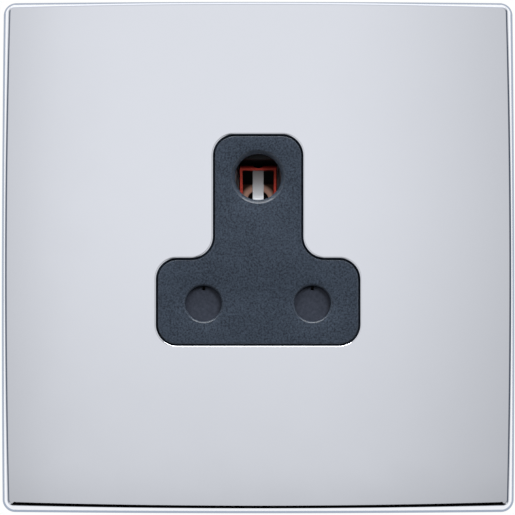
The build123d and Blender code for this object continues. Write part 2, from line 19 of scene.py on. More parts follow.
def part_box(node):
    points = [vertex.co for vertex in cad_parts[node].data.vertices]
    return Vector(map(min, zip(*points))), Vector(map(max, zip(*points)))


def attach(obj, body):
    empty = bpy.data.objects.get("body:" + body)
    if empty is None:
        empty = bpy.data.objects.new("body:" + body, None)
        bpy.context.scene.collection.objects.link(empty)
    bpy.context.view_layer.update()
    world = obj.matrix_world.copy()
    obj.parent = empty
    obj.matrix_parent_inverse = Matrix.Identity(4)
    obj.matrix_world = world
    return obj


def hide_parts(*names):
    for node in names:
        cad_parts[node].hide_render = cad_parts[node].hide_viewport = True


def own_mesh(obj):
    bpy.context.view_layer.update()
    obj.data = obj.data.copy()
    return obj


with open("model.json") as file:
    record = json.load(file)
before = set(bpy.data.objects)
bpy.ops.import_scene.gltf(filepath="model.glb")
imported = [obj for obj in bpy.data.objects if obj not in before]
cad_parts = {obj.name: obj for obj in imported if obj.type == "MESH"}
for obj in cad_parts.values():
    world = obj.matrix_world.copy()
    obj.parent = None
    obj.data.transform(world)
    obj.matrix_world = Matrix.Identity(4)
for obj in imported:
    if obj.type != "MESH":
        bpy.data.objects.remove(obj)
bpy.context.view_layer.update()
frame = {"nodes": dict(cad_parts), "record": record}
MM = 0.001
MOUNTS = {mount["name"]: mount for mount in frame["record"]["mounts"]}

# %% [markdown]
# ## Helpers for every node tree
# Colours are written as the hex codes that a paint program shows, in sRGB, and shaders count in
# linear light, so one function turns one into the other. A second function adds a node, sets its
# properties and fills its inputs with numbers or links. It serves materials, the world and
# Geometry Nodes alike. Two more start a material and an object.


# %% Colours, nodes, materials and objects
def linear(code):
    """sRGB hex code as a linear RGBA colour."""
    channels = [int(code[place:place + 2], 16) / 255 for place in (1, 3, 5)]
    return (*[c / 12.92 if c <= 0.04045 else ((c + 0.055) / 1.055) ** 2.4 for c in channels], 1.0)


def add(tree, kind, inputs=None, **settings):
    """Adds a node with its settings, and fills its inputs with values or links."""
    node = tree.nodes.new(kind)
    for name, value in settings.items():
        setattr(node, name, value)
    for socket, value in (inputs or {}).items():
        if isinstance(value, bpy.types.NodeSocket):
            tree.links.new(value, node.inputs[socket])
        else:
            node.inputs[socket].default_value = value
    return node


def new_finish(name, **sockets):
    """A material with one Principled shader, whose constant sockets are set by name."""
    material = bpy.data.materials.new(name)
    material.use_nodes = True
    shader = material.node_tree.nodes["Principled BSDF"]
    for socket, value in sockets.items():
        shader.inputs[socket.replace("_", " ")].default_value = value
    return material, material.node_tree, shader


def new_object(name, data):
    """An object at the origin, linked to the scene."""
    made = bpy.data.objects.new(name, data)
    bpy.context.scene.collection.objects.link(made)
    return made


print("slate grey in linear light:", [round(c, 3) for c in linear("#3d4450")])

# %% [markdown]
# ## Polished chrome
# Chrome plating is a hard mirror with almost no colour of its own, a little blue. What tells a
# real plate from a perfect mirror is the long, very low wave that pressing and buffing leave, and
# a faint haze from the polishing wheel. Both are noise: one bends the normal by a few hundredths
# of a degree, the other moves the roughness a little.

# %% Chrome plating
NOISE_LOW, NOISE_HIGH = 0.3, 0.7  # most values of a noise lie between these
WAVE_MM, WAVE_HEIGHT_MM = 16, 0.002
HAZE_MM, HAZE_ROUGHNESS = 7, (0.035, 0.06)


def texture(shader, gloss, roughness, bump, height_mm):
    """Lets one noise move the roughness between two values, and another one bend the normal."""
    tree = shader.id_data
    sheen = add(tree, "ShaderNodeMapRange", {
        "Value": gloss.outputs["Fac"], "From Min": NOISE_LOW, "From Max": NOISE_HIGH,
        "To Min": roughness[0], "To Max": roughness[1]})
    relief = add(tree, "ShaderNodeBump", {
        "Height": bump.outputs["Fac"], "Strength": 1.0, "Distance": height_mm * MM})
    tree.links.new(sheen.outputs["Result"], shader.inputs["Roughness"])
    tree.links.new(relief.outputs["Normal"], shader.inputs["Normal"])


chrome, tree, shader = new_finish(
    "chrome_plating_polished", Base_Color=linear("#dbdee6"), Metallic=1.0)
place = add(tree, "ShaderNodeTexCoord").outputs["Object"]
wave = add(tree, "ShaderNodeTexNoise", {
    "Vector": place, "Scale": 1 / (WAVE_MM * MM), "Detail": 1.0})
haze = add(tree, "ShaderNodeTexNoise", {
    "Vector": place, "Scale": 1 / (HAZE_MM * MM), "Detail": 4.0})
texture(shader, haze, HAZE_ROUGHNESS, wave, WAVE_HEIGHT_MM)
print("made", chrome.name)

# %% [markdown]
# ## Moulded plastics
# The tee insert is a dark slate thermoset with a fine spark-eroded grain, so it is satin and
# slightly mottled. Four more mouldings share that build, so one function makes them all. Grain
# under about a third of a millimetre would fall between the pixels, so it is drawn that coarse.

# %% One function for all mouldings
CLOUD_GRAINS, CLOUD_SHARE = 14, 0.15
TONE_STOPS = (0.4, 0.75)
SATIN_SWING = 0.07


def moulding(name, dark, light, grain_mm, relief_mm, roughness, level):
    """Moulded plastic: two close tones in a fine grain, with a relief of the same grain."""
    material, tree, shader = new_finish(name, Specular_IOR_Level=level, IOR=1.5)
    place = add(tree, "ShaderNodeTexCoord").outputs["Object"]
    grain = add(tree, "ShaderNodeTexNoise", {
        "Vector": place, "Scale": 1 / (grain_mm * MM), "Detail": 3.0, "Roughness": 0.65})
    cloud = add(tree, "ShaderNodeTexNoise", {
        "Vector": place, "Scale": 1 / (CLOUD_GRAINS * grain_mm * MM), "Detail": 2.0})
    mottle = add(tree, "ShaderNodeMath", {
        0: cloud.outputs["Fac"], 1: CLOUD_SHARE, 2: grain.outputs["Fac"]}, operation="MULTIPLY_ADD")
    tone = add(tree, "ShaderNodeValToRGB", {"Fac": mottle.outputs["Value"]})
    for stop, position, code in zip(tone.color_ramp.elements, TONE_STOPS, (dark, light)):
        stop.position, stop.color = position, linear(code)
    tree.links.new(tone.outputs["Color"], shader.inputs["Base Color"])
    texture(shader, grain, (roughness - SATIN_SWING, roughness + SATIN_SWING), grain, relief_mm)
    return material


# Satin and mottled; smooth and plain; half glossy; near black, so that gaps stay dark; dull.
slate = moulding("slate_thermoset_grained", "#20262f", "#434d5b", 0.33, 0.03, 0.5, 0.17)
charcoal = moulding("charcoal_nylon_shutter", "#3a3f4b", "#484d5a", 0.6, 0.01, 0.42, 0.15)
red = moulding("red_nylon_cam", "#a6382f", "#c64c41", 0.5, 0.008, 0.35, 0.45)
black = moulding("black_abs_clip_frame", "#141517", "#1f2023", 0.5, 0.02, 0.5, 0.35)
grey = moulding("graphite_thermoset_housing", "#2a2c30", "#3a3d42", 0.45, 0.03, 0.6, 0.3)
print("mouldings:", [material.name for material in (slate, charcoal, red, black, grey)])

# %% [markdown]
# ### Smooth edges
# Only the face of the insert carries the grain. Its edge, the chamfers and the bores are polished
# in the tool and catch a fine line of light. A mask over the depth behind the face fades the grain
# out and the gloss in, and a second one leaves the deep gap dull.

# %% Mask on the slate moulding
EDGE_ROUGHNESS, EDGE_LEVEL = 0.3, 0.5
EDGE_DEPTH_MM = (0.01, 0.05)
GAP_DEPTH_MM = (0.8, 0.9)
FACE_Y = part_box("socket_front")[0].y
tree = slate.node_tree
shader = tree.nodes["Principled BSDF"]
satin = shader.inputs["Roughness"].links[0].from_socket
relief = shader.inputs["Normal"].links[0].from_node
level = shader.inputs["Specular IOR Level"].default_value
place = add(tree, "ShaderNodeTexCoord").outputs["Object"]
depth = add(tree, "ShaderNodeSeparateXYZ", {"Vector": place}).outputs["Y"]
behind = add(tree, "ShaderNodeMapRange", {
    "Value": depth, "From Min": FACE_Y + EDGE_DEPTH_MM[0] * MM,
    "From Max": FACE_Y + EDGE_DEPTH_MM[1] * MM}).outputs["Result"]
shallow = add(tree, "ShaderNodeMapRange", {
    "Value": depth, "From Min": FACE_Y + GAP_DEPTH_MM[0] * MM,
    "From Max": FACE_Y + GAP_DEPTH_MM[1] * MM, "To Min": 1.0, "To Max": 0.0})
smooth = add(tree, "ShaderNodeMix", {"Factor": behind, "A": satin, "B": EDGE_ROUGHNESS})
shine = add(tree, "ShaderNodeMix", {"Factor": behind, "A": level, "B": EDGE_LEVEL})
shine = add(tree, "ShaderNodeMath", {
    0: shine.outputs["Result"], 1: shallow.outputs["Result"]}, operation="MULTIPLY")
grained = add(tree, "ShaderNodeMath", {0: 1.0, 1: behind}, operation="SUBTRACT")
tree.links.new(smooth.outputs["Result"], shader.inputs["Roughness"])
tree.links.new(shine.outputs["Value"], shader.inputs["Specular IOR Level"])
tree.links.new(grained.outputs["Value"], relief.inputs["Strength"])
print("grain ends", EDGE_DEPTH_MM[1], "mm behind the face")

# %% [markdown]
# ### Painted shade on the frame's top
# Above the bar that the earth pin pushes, the slider is painted dark red as shade inside the
# aperture. A mask over the height mixes the two tones, in a function that the metals use as well.

# %% Mask on the red cam
# Painted shade: the red frame turns dark red over this stretch of height and above it.
FRAME_SHADE_Z_MM = (15.75, 16.1)
FRAME_SHADE_RED = "#4a100b"


def paint_shade_along(material, axis, stretch_mm, code):
    """Turns a material's tone into a painted shade over a stretch of one axis of the object."""
    tree = material.node_tree
    base = tree.nodes["Principled BSDF"].inputs["Base Color"]
    place = add(tree, "ShaderNodeTexCoord").outputs["Object"]
    along = add(tree, "ShaderNodeSeparateXYZ", {"Vector": place}).outputs[axis]
    share = add(tree, "ShaderNodeMapRange", {
        "Value": along, "From Min": stretch_mm[0] * MM, "From Max": stretch_mm[1] * MM})
    tone = add(tree, "ShaderNodeMix", {
        "Factor": share.outputs["Result"], 6: base.links[0].from_socket, 7: linear(code)},
        data_type="RGBA")
    tree.links.new(tone.outputs[2], base)


# Painted shade on the frame's top, printed from the height where it starts.
paint_shade_along(red, "Z", FRAME_SHADE_Z_MM, FRAME_SHADE_RED)
print("oil from", FRAME_SHADE_Z_MM[0], "mm up")

# %% [markdown]
# ## Metals inside and behind
# The metals have fine lines or spangle in their roughness. The lines run along one axis, as
# rolling, sawing or turning left them, so a Mapping node stretches the noise along it.

# %% One function for all metals
BLOOM_GRAINS = 12
SHEEN_SWING = (0.08, 0.1)


def metal(name, dark, light, grain_mm, stretch, roughness, relief_mm):
    """Metal with a drawn or rolled grain: stretch says how long it is along X, Y and Z."""
    material, tree, shader = new_finish(name, Metallic=1.0)
    place = add(tree, "ShaderNodeTexCoord").outputs["Object"]
    drawn = add(tree, "ShaderNodeMapping", {
        "Vector": place, "Scale": [1 / length for length in stretch]})
    lines = add(tree, "ShaderNodeTexNoise", {
        "Vector": drawn.outputs["Vector"], "Scale": 1 / (grain_mm * MM), "Detail": 3.0})
    bloom = add(tree, "ShaderNodeTexNoise", {
        "Vector": place, "Scale": 1 / (BLOOM_GRAINS * grain_mm * MM)})
    tone = add(tree, "ShaderNodeMix", {
        "Factor": bloom.outputs["Fac"], 6: linear(dark), 7: linear(light)}, data_type="RGBA")
    tree.links.new(tone.outputs[2], shader.inputs["Base Color"])
    ends = (roughness - SHEEN_SWING[0], roughness + SHEEN_SWING[1])
    texture(shader, lines, ends, lines, relief_mm)
    return material


# Cool even spangle; white drawn strip; soft grey strip; warm saw lines; dark bright-drawn wire.
zinc = metal("zinc_plated_steel", "#a9adb3", "#c6c9cc", 0.5, (1, 1, 1), 0.3, 0.0025)
nickel = metal("nickel_plated_strip", "#e2e6ec", "#f0f2f6", 0.12, (1, 4, 12), 0.45, 0.0005)
tinned = metal("tinned_bronze_strip", "#d6ced2", "#e6dfe3", 0.25, (1, 1, 8), 0.5, 0.002)
brass = metal("brass_sawn", "#b8924a", "#cfab63", 0.2, (1, 1, 10), 0.3, 0.004)
wire = metal("spring_steel_wire", "#7d7d80", "#97979b", 0.1, (1, 1, 1), 0.28, 0.001)
print("metals:", [material.name for material in (zinc, nickel, tinned, brass, wire)])

# %% [markdown]
# ### The rubbed track, with painted shade
# The earth pin slides along the middle of the nickel strip and keeps it bright and frosted.
# Towards its top the strip is painted darker, as shade. Beside that track the plate is painted
# dark as shade, apart from a bare bronze margin round its arched hole.

# %% Masks on the nickel strip
TRACK_HALF_MM, TRACK_EDGE_MM = 0.95, 0.1
ARCH_Z_MM = 9.835
MARGIN_MM = (2.5, 3.2)
STRIP_SHADE_Z_MM = (10.5, 16.5)
STRIP_TOP_SHADE, BARE_BRONZE, SHADE_BESIDE_TRACK = "#56443f", "#b08878", "#2b1a12"
FROSTED_METAL = 0.35
# Painted shade: darker towards the top of the strip, and dark brown beside the track.
paint_shade_along(nickel, "Z", STRIP_SHADE_Z_MM, STRIP_TOP_SHADE)
tree = nickel.node_tree
shader = tree.nodes["Principled BSDF"]
shader.inputs["Metallic"].default_value = FROSTED_METAL
bright = shader.inputs["Base Color"].links[0].from_socket
place = add(tree, "ShaderNodeTexCoord").outputs["Object"]
place = add(tree, "ShaderNodeSeparateXYZ", {"Vector": place})
side = add(tree, "ShaderNodeMath", {0: place.outputs["X"]}, operation="ABSOLUTE")
rise = add(tree, "ShaderNodeMath", {
    0: place.outputs["Z"], 1: ARCH_Z_MM * MM}, operation="SUBTRACT")
from_hole = add(tree, "ShaderNodeCombineXYZ", {
    "X": side.outputs["Value"], "Y": rise.outputs["Value"]})
from_hole = add(tree, "ShaderNodeVectorMath", {0: from_hole.outputs["Vector"]}, operation="LENGTH")
shade_share = add(tree, "ShaderNodeMapRange", {
    "Value": from_hole.outputs["Value"],
    "From Min": MARGIN_MM[0] * MM, "From Max": MARGIN_MM[1] * MM})
shaded_side = add(tree, "ShaderNodeMix", {
    "Factor": shade_share.outputs["Result"], 6: linear(BARE_BRONZE), 7: linear(SHADE_BESIDE_TRACK)},
    data_type="RGBA")
beside = add(tree, "ShaderNodeMapRange", {
    "Value": side.outputs["Value"], "From Min": TRACK_HALF_MM * MM,
    "From Max": (TRACK_HALF_MM + TRACK_EDGE_MM) * MM})
track_and_shade = add(tree, "ShaderNodeMix", {
    "Factor": beside.outputs["Result"], 6: bright, 7: shaded_side.outputs[2]}, data_type="RGBA")
tree.links.new(track_and_shade.outputs[2], shader.inputs["Base Color"])
print("bright track:", 2 * TRACK_HALF_MM, "mm wide")

# %% [markdown]
# ### Tin leaves with painted shade in the depth
# Dull tin scatters light as much as it mirrors it. Near their mouth the leaves keep the tin's
# tone; deeper in the pocket, towards the bridge at its back, it turns to a painted shade.

# %% Mask on the tinned strip
# Painted shade: the tin turns almost black between these two depths and beyond.
DEEP_SHADE_Y_MM = (7.0, 12.0)
DEEP_TIN_SHADE = "#1d1512"
paint_shade_along(tinned, "Y", DEEP_SHADE_Y_MM, DEEP_TIN_SHADE)
tinned.node_tree.nodes["Principled BSDF"].inputs["Metallic"].default_value = FROSTED_METAL
print("leaves bright down to", DEEP_SHADE_Y_MM[0], "mm behind the wall plane")

# %% [markdown]
# ## Outlines
# The plate is a square whose sides bow outwards a little, and the insert is a tee with round
# corners. Both are rings of points that always have the same count, whatever their size, so that
# one ring can be skinned to the next.

# %% Rings of points, in millimetres seen from the front
ARC_STEPS = 14
RUN_STEPS = 12
SIDE_STEPS = 48


def arc(centre, radius, start, end, steps):
    """Points on an arc, without its last one."""
    angles = [start + (end - start) * step / steps for step in range(steps)]
    return [(centre[0] + radius * math.cos(a), centre[1] + radius * math.sin(a)) for a in angles]


def rounded(corners):
    """Closed ring through corners given as x, z and radius, round at each one."""
    points = []
    for index, (x, z, radius) in enumerate(corners):
        here = Vector((x, z))
        before = (Vector(corners[index - 1][:2]) - here).normalized()
        after = (Vector(corners[(index + 1) % len(corners)][:2]) - here).normalized()
        half = before.angle(after) / 2
        centre = here + (before + after).normalized() * radius / math.sin(half)
        first = here + before * radius / math.tan(half) - centre
        last = here + after * radius / math.tan(half) - centre
        turn = last.angle_signed(first)
        start = math.atan2(first.y, first.x)
        points += arc(centre, radius, start, start + turn, ARC_STEPS)
        points.append((centre.x + last.x, centre.y + last.y))
    ring = []
    for index, (x, z) in enumerate(points):
        ring.append((x, z))
        if index % (ARC_STEPS + 1) == ARC_STEPS:
            goal = points[(index + 1) % len(points)]
            ring += [(x + (goal[0] - x) * step / RUN_STEPS, z + (goal[1] - z) * step / RUN_STEPS)
                     for step in range(1, RUN_STEPS)]
    return ring


def box_ring(half, low, high, corner):
    """Ring of an upright rectangle with round corners, centred left to right."""
    ends = ((-half, low), (half, low), (half, high), (-half, high))
    return rounded([(x, z, corner) for x, z in ends])


def bowed_square(half, bow, corner):
    """Ring of a square whose sides are shallow arcs, with round corners."""
    reach = half - bow
    sweep = (reach ** 2 + bow ** 2) / (2 * bow)
    hub = half - sweep
    corner_hub = (hub + math.sqrt(2 * (sweep - corner) ** 2 - hub ** 2)) / 2
    lean = math.atan2(corner_hub, corner_hub - hub)
    ring = []
    for quarter in range(4):
        side = arc((0, hub), sweep, math.pi / 2 + lean, math.pi / 2 - lean, SIDE_STEPS)
        side += arc((corner_hub, corner_hub), corner, math.pi / 2 - lean, lean, ARC_STEPS)
        turn = -quarter * math.pi / 2
        ring += [(x * math.cos(turn) - z * math.sin(turn), x * math.sin(turn) + z * math.cos(turn))
                 for x, z in side]
    return ring


print("points round the plate:", 4 * (SIDE_STEPS + ARC_STEPS))

# %% [markdown]
# ## Skins
# Strips of four-sided faces join two rings of the same count, and a fill closes the field between
# an outer ring and its holes. The fill is a Delaunay triangulation with a lattice of points
# inside, so that a mirror finish on a domed field shows no creases.

# %% Inside of a field, and the last touches on a mesh
MERGE_M = 1e-7
SMOOTH_ANGLE = math.radians(30)


def in_field(x, z, fields):
    """True for a point inside the first outline and outside the others."""
    hits = []
    for field in fields:
        ahead = np.roll(field, -1, axis=0)
        spans = (field[:, 1] > z) != (ahead[:, 1] > z)
        a, b = field[spans], ahead[spans]
        cross = a[:, 0] + (z - a[:, 1]) / (b[:, 1] - a[:, 1]) * (b[:, 0] - a[:, 0])
        hits.append((cross > x).sum() % 2 == 1)
    return hits[0] and not any(hits[1:])


def settle(mesh, name, material):
    """Merges doubles, points faces outwards, shades smoothly up to an angle, links the object."""
    work = bmesh.new()
    work.from_mesh(mesh)
    bmesh.ops.remove_doubles(work, verts=work.verts, dist=MERGE_M)
    bmesh.ops.recalc_face_normals(work, faces=work.faces)
    open_edges = sum(not edge.is_manifold for edge in work.edges)
    work.to_mesh(mesh)
    work.free()
    mesh.shade_smooth()
    mesh.set_sharp_from_angle(angle=SMOOTH_ANGLE)
    mesh.materials.clear()
    mesh.materials.append(material)
    print(name, "faces:", len(mesh.polygons), "open edges:", open_edges)
    return new_object(name, mesh)


# %% A skin that grows from rings
INSIDE_ONLY = 1
SAME_POINT_MM = 1e-7
CLEAR_SHARE = 0.6  # share of the pitch by which a lattice point stays away from the rings


class Skin:
    """Mesh under construction, with points in millimetres."""

    def __init__(self):
        self.points = []
        self.faces = []

    def ring(self, outline, depth):
        """Adds a ring at a depth, which is a number or a function of x and z."""
        return self.ring3([(x, depth(x, z) if callable(depth) else depth, z) for x, z in outline])

    def ring3(self, points):
        """Adds a ring of points that have their own depths."""
        first = len(self.points)
        self.points += [tuple(point) for point in points]
        return list(range(first, len(self.points)))

    def strip(self, *rings):
        """Joins each ring to the next with four-sided faces."""
        for near, far in zip(rings, rings[1:]):
            count = len(near)
            self.faces += [(near[i], near[(i + 1) % count], far[(i + 1) % count], far[i])
                           for i in range(count)]

    def fill(self, outer, holes, depth=None, pitch=0):
        """Closes the field between an outer ring and its holes; pitch adds a lattice of points."""
        rings = [outer, *holes]
        known = [index for ring in rings for index in ring]
        fields = [np.array([(self.points[i][0], self.points[i][2]) for i in ring])
                  for ring in rings]
        flat = [Vector(point) for field in fields for point in field]
        edges, first = [], 0
        for ring in rings:
            count = len(ring)
            edges += [(first + i, first + (i + 1) % count) for i in range(count)]
            first += count
        if pitch:
            edge = np.vstack(fields)
            low, high = fields[0].min(0), fields[0].max(0)
            for x in np.arange(low[0] + pitch / 2, high[0], pitch):
                for z in np.arange(low[1] + pitch / 2, high[1], pitch):
                    near = np.hypot(edge[:, 0] - x, edge[:, 1] - z).min()
                    if near > pitch * CLEAR_SHARE and in_field(x, z, fields):
                        flat.append(Vector((x, z)))
        places, _, triangles, origins, _, _ = delaunay_2d_cdt(
            flat, edges, [], INSIDE_ONLY, SAME_POINT_MM)
        index = []
        for place, origin in zip(places, origins):
            if origin and origin[0] < len(known):
                index.append(known[origin[0]])
            else:
                index.append(len(self.points))
                self.points.append((place.x, depth(place.x, place.y), place.y))
        for triangle in triangles:
            x, z = sum((places[i] for i in triangle), Vector((0, 0))) / 3
            if in_field(x, z, fields):
                self.faces.append([index[i] for i in triangle])

    def build(self, name, material):
        """Turns the skin into an object at the origin, smooth apart from its real edges."""
        mesh = bpy.data.meshes.new(name)
        mesh.from_pydata([[c * MM for c in point] for point in self.points], [], self.faces)
        return settle(mesh, name, material)


print("lattice points stay", CLEAR_SHARE, "of a pitch away from the rings")

# %% [markdown]
# ## The domed plate
# The plate is a very shallow dome, a soft arris and a drafted skirt whose corners open out towards
# the wall. Its mirror finish would show every facet, so it is rebuilt from rings: the skirt blends
# between two bowed squares, and the arris is a true arc. A narrow extra ring beside each arc keeps
# the shading of the broad face from leaking into it.

# %% Plate sizes
PLATE_LOW, PLATE_HIGH = [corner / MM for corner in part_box("front_plate")]
PLATE_HALF = PLATE_HIGH.x
PLATE_SHEET = 1.0
PROJECTION = 5.2
DOME_RADIUS = 2800.0
SKIRT_DRAFT = 0.7
REAR_SHAPE = (0.25, 2.2)  # bow of the sides and radius of the corners, at the wall
FACE_SHAPE = (0.65, 0.9)  # the same where the skirt meets the dome
INNER_CORNERS = (1.2, 0.5)
ARRIS, ARRIS_STEPS = 0.45, 10
LIP, LIP_STEPS = 0.32, 8
GUARD = 0.05
TEE_GAP = 0.25
FACE_PITCH, INNER_PITCH = 1.6, 6
print("plate:", round(2 * PLATE_HALF, 2), "mm wide,", round(-PLATE_LOW.y, 2), "mm deep")

# %% Tee outline
LINE = Vector(MOUNTS["live_aperture"]["pos_m"]) / MM
EARTH = Vector(MOUNTS["earth_aperture"]["pos_m"]) / MM
BESIDE_LINE, ABOVE_LINE = 8.02, 7.65
TEE_MARGIN = 7.15  # from an aperture's middle to the tee's low or high end
TEE_ARM_HALF = LINE.x + BESIDE_LINE
TEE_BOTTOM = LINE.z - TEE_MARGIN
TEE_TOP = EARTH.z + TEE_MARGIN
TEE_SHOULDER = LINE.z + ABOVE_LINE
TEE_STEM_HALF = 7.58
TEE_CONVEX, TEE_CONCAVE = 3.45, 4.1


def tee_ring(arm, stem, low, shoulder, high, convex, concave):
    """Ring of a tee that stands on its arms, with round corners."""
    return rounded([
        (-arm, low, convex), (arm, low, convex),
        (arm, shoulder, convex), (stem, shoulder, concave),
        (stem, high, convex), (-stem, high, convex),
        (-stem, shoulder, concave), (-arm, shoulder, convex)])


def tee(grow):
    """Ring of the insert's tee, grown by a gap all round."""
    return tee_ring(
        TEE_ARM_HALF + grow, TEE_STEM_HALF + grow, TEE_BOTTOM - grow, TEE_SHOULDER + grow,
        TEE_TOP + grow, TEE_CONVEX + grow, TEE_CONCAVE - grow)


print("tee:", round(2 * TEE_ARM_HALF, 2), "by", round(TEE_TOP - TEE_BOTTOM, 2), "mm")

# %% Rings of skirt and arris
MEETING_ROUNDS = 4


def dome(inset):
    """Depth of the dome, or of its inner side when inset by the sheet."""
    radius = DOME_RADIUS - inset
    return lambda x, z: DOME_RADIUS - PROJECTION - math.sqrt(radius ** 2 - x ** 2 - z ** 2)


def skirt_edge(inset, rear_corner, face_corner):
    """Rear ring, and the ring where the drafted skirt meets the dome, both as points in space."""
    rear = bowed_square(PLATE_HALF - inset, REAR_SHAPE[0], rear_corner)
    face = bowed_square(PLATE_HALF - SKIRT_DRAFT - inset, FACE_SHAPE[0], face_corner)
    depth = dome(inset)
    meeting = []
    for (xr, zr), (xf, zf) in zip(rear, face):
        share = 1.0
        for _ in range(MEETING_ROUNDS):
            x, z = xr + (xf - xr) * share, zr + (zf - zr) * share
            share = -depth(x, z) / PROJECTION
        meeting.append(Vector((x, depth(x, z), z)))
    return [Vector((x, 0, z)) for x, z in rear], meeting


def arris_rings(rear, meeting):
    """Rings of the arc that rounds the edge between face and skirt, with a guard at each end."""
    rings = [[] for _ in range(ARRIS_STEPS + 3)]
    count = len(meeting)
    for index, corner in enumerate(meeting):
        along = meeting[(index + 1) % count] - meeting[index - 1]
        inward = Vector((along.z, 0, -along.x)).normalized()
        inward *= -1 if inward.dot(corner) > 0 else 1
        inward.y = (corner.x * inward.x + corner.z * inward.z) / DOME_RADIUS
        inward.normalize()
        down = (rear[index] - corner).normalized()
        half = inward.angle(down) / 2
        hub = corner + (inward + down).normalized() * ARRIS / math.sin(half)
        run = ARRIS / math.tan(half)
        first = (corner + inward * run - hub).normalized()
        last = (corner + down * run - hub).normalized()
        rings[0].append(hub + first * ARRIS + inward * GUARD)
        for step in range(ARRIS_STEPS + 1):
            rings[step + 1].append(hub + first.slerp(last, step / ARRIS_STEPS) * ARRIS)
        rings[-1].append(hub + last * ARRIS + down * GUARD)
    return rings


print("dome falls", round(dome(0)(PLATE_HALF, 0) - dome(0)(0, 0), 2), "mm from middle to side")


# %% Skin of the plate
def make_plate():
    """Plate with its dome, arris, skirt, inside and tee cut-out."""
    skin = Skin()
    rear, meeting = skirt_edge(0, REAR_SHAPE[1], FACE_SHAPE[1])
    arris = [skin.ring3(points) for points in arris_rings(rear, meeting)]
    lip = [skin.ring(tee(TEE_GAP + LIP + GUARD), dome(0))]
    for step in range(LIP_STEPS + 1):
        turn = step / LIP_STEPS * math.pi / 2
        sink = LIP * (1 - math.cos(turn))
        lip.append(skin.ring(tee(TEE_GAP + LIP * (1 - math.sin(turn))),
                             lambda x, z: dome(0)(x, z) + sink))
    skin.fill(arris[0], [lip[0]], dome(0), FACE_PITCH)
    inner_rear, inner_meeting = skirt_edge(PLATE_SHEET, *INNER_CORNERS)
    foot = skin.ring3(rear)
    inner_foot = skin.ring3(inner_rear)
    inner_face = skin.ring3(inner_meeting)
    inner_tee = skin.ring(tee(TEE_GAP), dome(PLATE_SHEET))
    skin.strip(*arris, foot, inner_foot, inner_face)
    skin.strip(*lip, inner_tee)
    skin.fill(inner_face, [inner_tee], dome(PLATE_SHEET), INNER_PITCH)
    return skin.build("chrome_plate", chrome)


plate = make_plate()
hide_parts("front_plate")
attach(plate, "socket")

# %% [markdown]
# ## The tee insert
# The insert is the boss of the front moulding. Its edge is rounded, the line apertures have a fine
# chamfer and the earth aperture a broad one. The rings run from the face over the hidden block and
# flange, and back through the shutter's chamber to the bores, so the skin is closed.

# %% Insert sizes
FRONT_LOW, FRONT_HIGH = [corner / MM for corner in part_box("socket_front")]
BOSS_FRONT, FLANGE_BACK = FRONT_LOW.y, FRONT_HIGH.y
FRONT_WALL = 2.4
WALL_BACK = BOSS_FRONT + FRONT_WALL
EDGE, EDGE_STEPS = 0.3, 6
BREAK = 0.06
BREAK_SAG = BREAK * 0.3
BLOCK_FRONT, BLOCK_HALF, BLOCK_CORNER = -3.6, 20.5, 2.0
FLANGE_LEDGE, FLANGE_CORNER = 5.2, 3.0
BLOCK_LOW, BLOCK_HIGH = FRONT_LOW.z + FLANGE_LEDGE, FRONT_HIGH.z - FLANGE_LEDGE
CHAMBER_WALL, ABOVE_EARTH = 1.6, 5.6
CHAMBER_LOW, CHAMBER_TOP = BLOCK_LOW + CHAMBER_WALL, EARTH.z + ABOVE_EARTH
CHAMBER_HALF, CHAMBER_SHOULDER, CHAMBER_CORNER = 13.825, -4.75, 0.3
THROAT_HALF = 5.4
LINE_RIM, EARTH_RIM = 0.3, 0.7
APERTURES = [
    (-LINE.x, LINE.z, MOUNTS["neutral_aperture"]["dims"]["r_mm"], LINE_RIM),
    (LINE.x, LINE.z, MOUNTS["live_aperture"]["dims"]["r_mm"], LINE_RIM),
    (0.0, EARTH.z, MOUNTS["earth_aperture"]["dims"]["r_mm"], EARTH_RIM),
]
ROUND_STEPS = 96
print("aperture radii:", [radius for _, _, radius, _ in APERTURES], "mm")


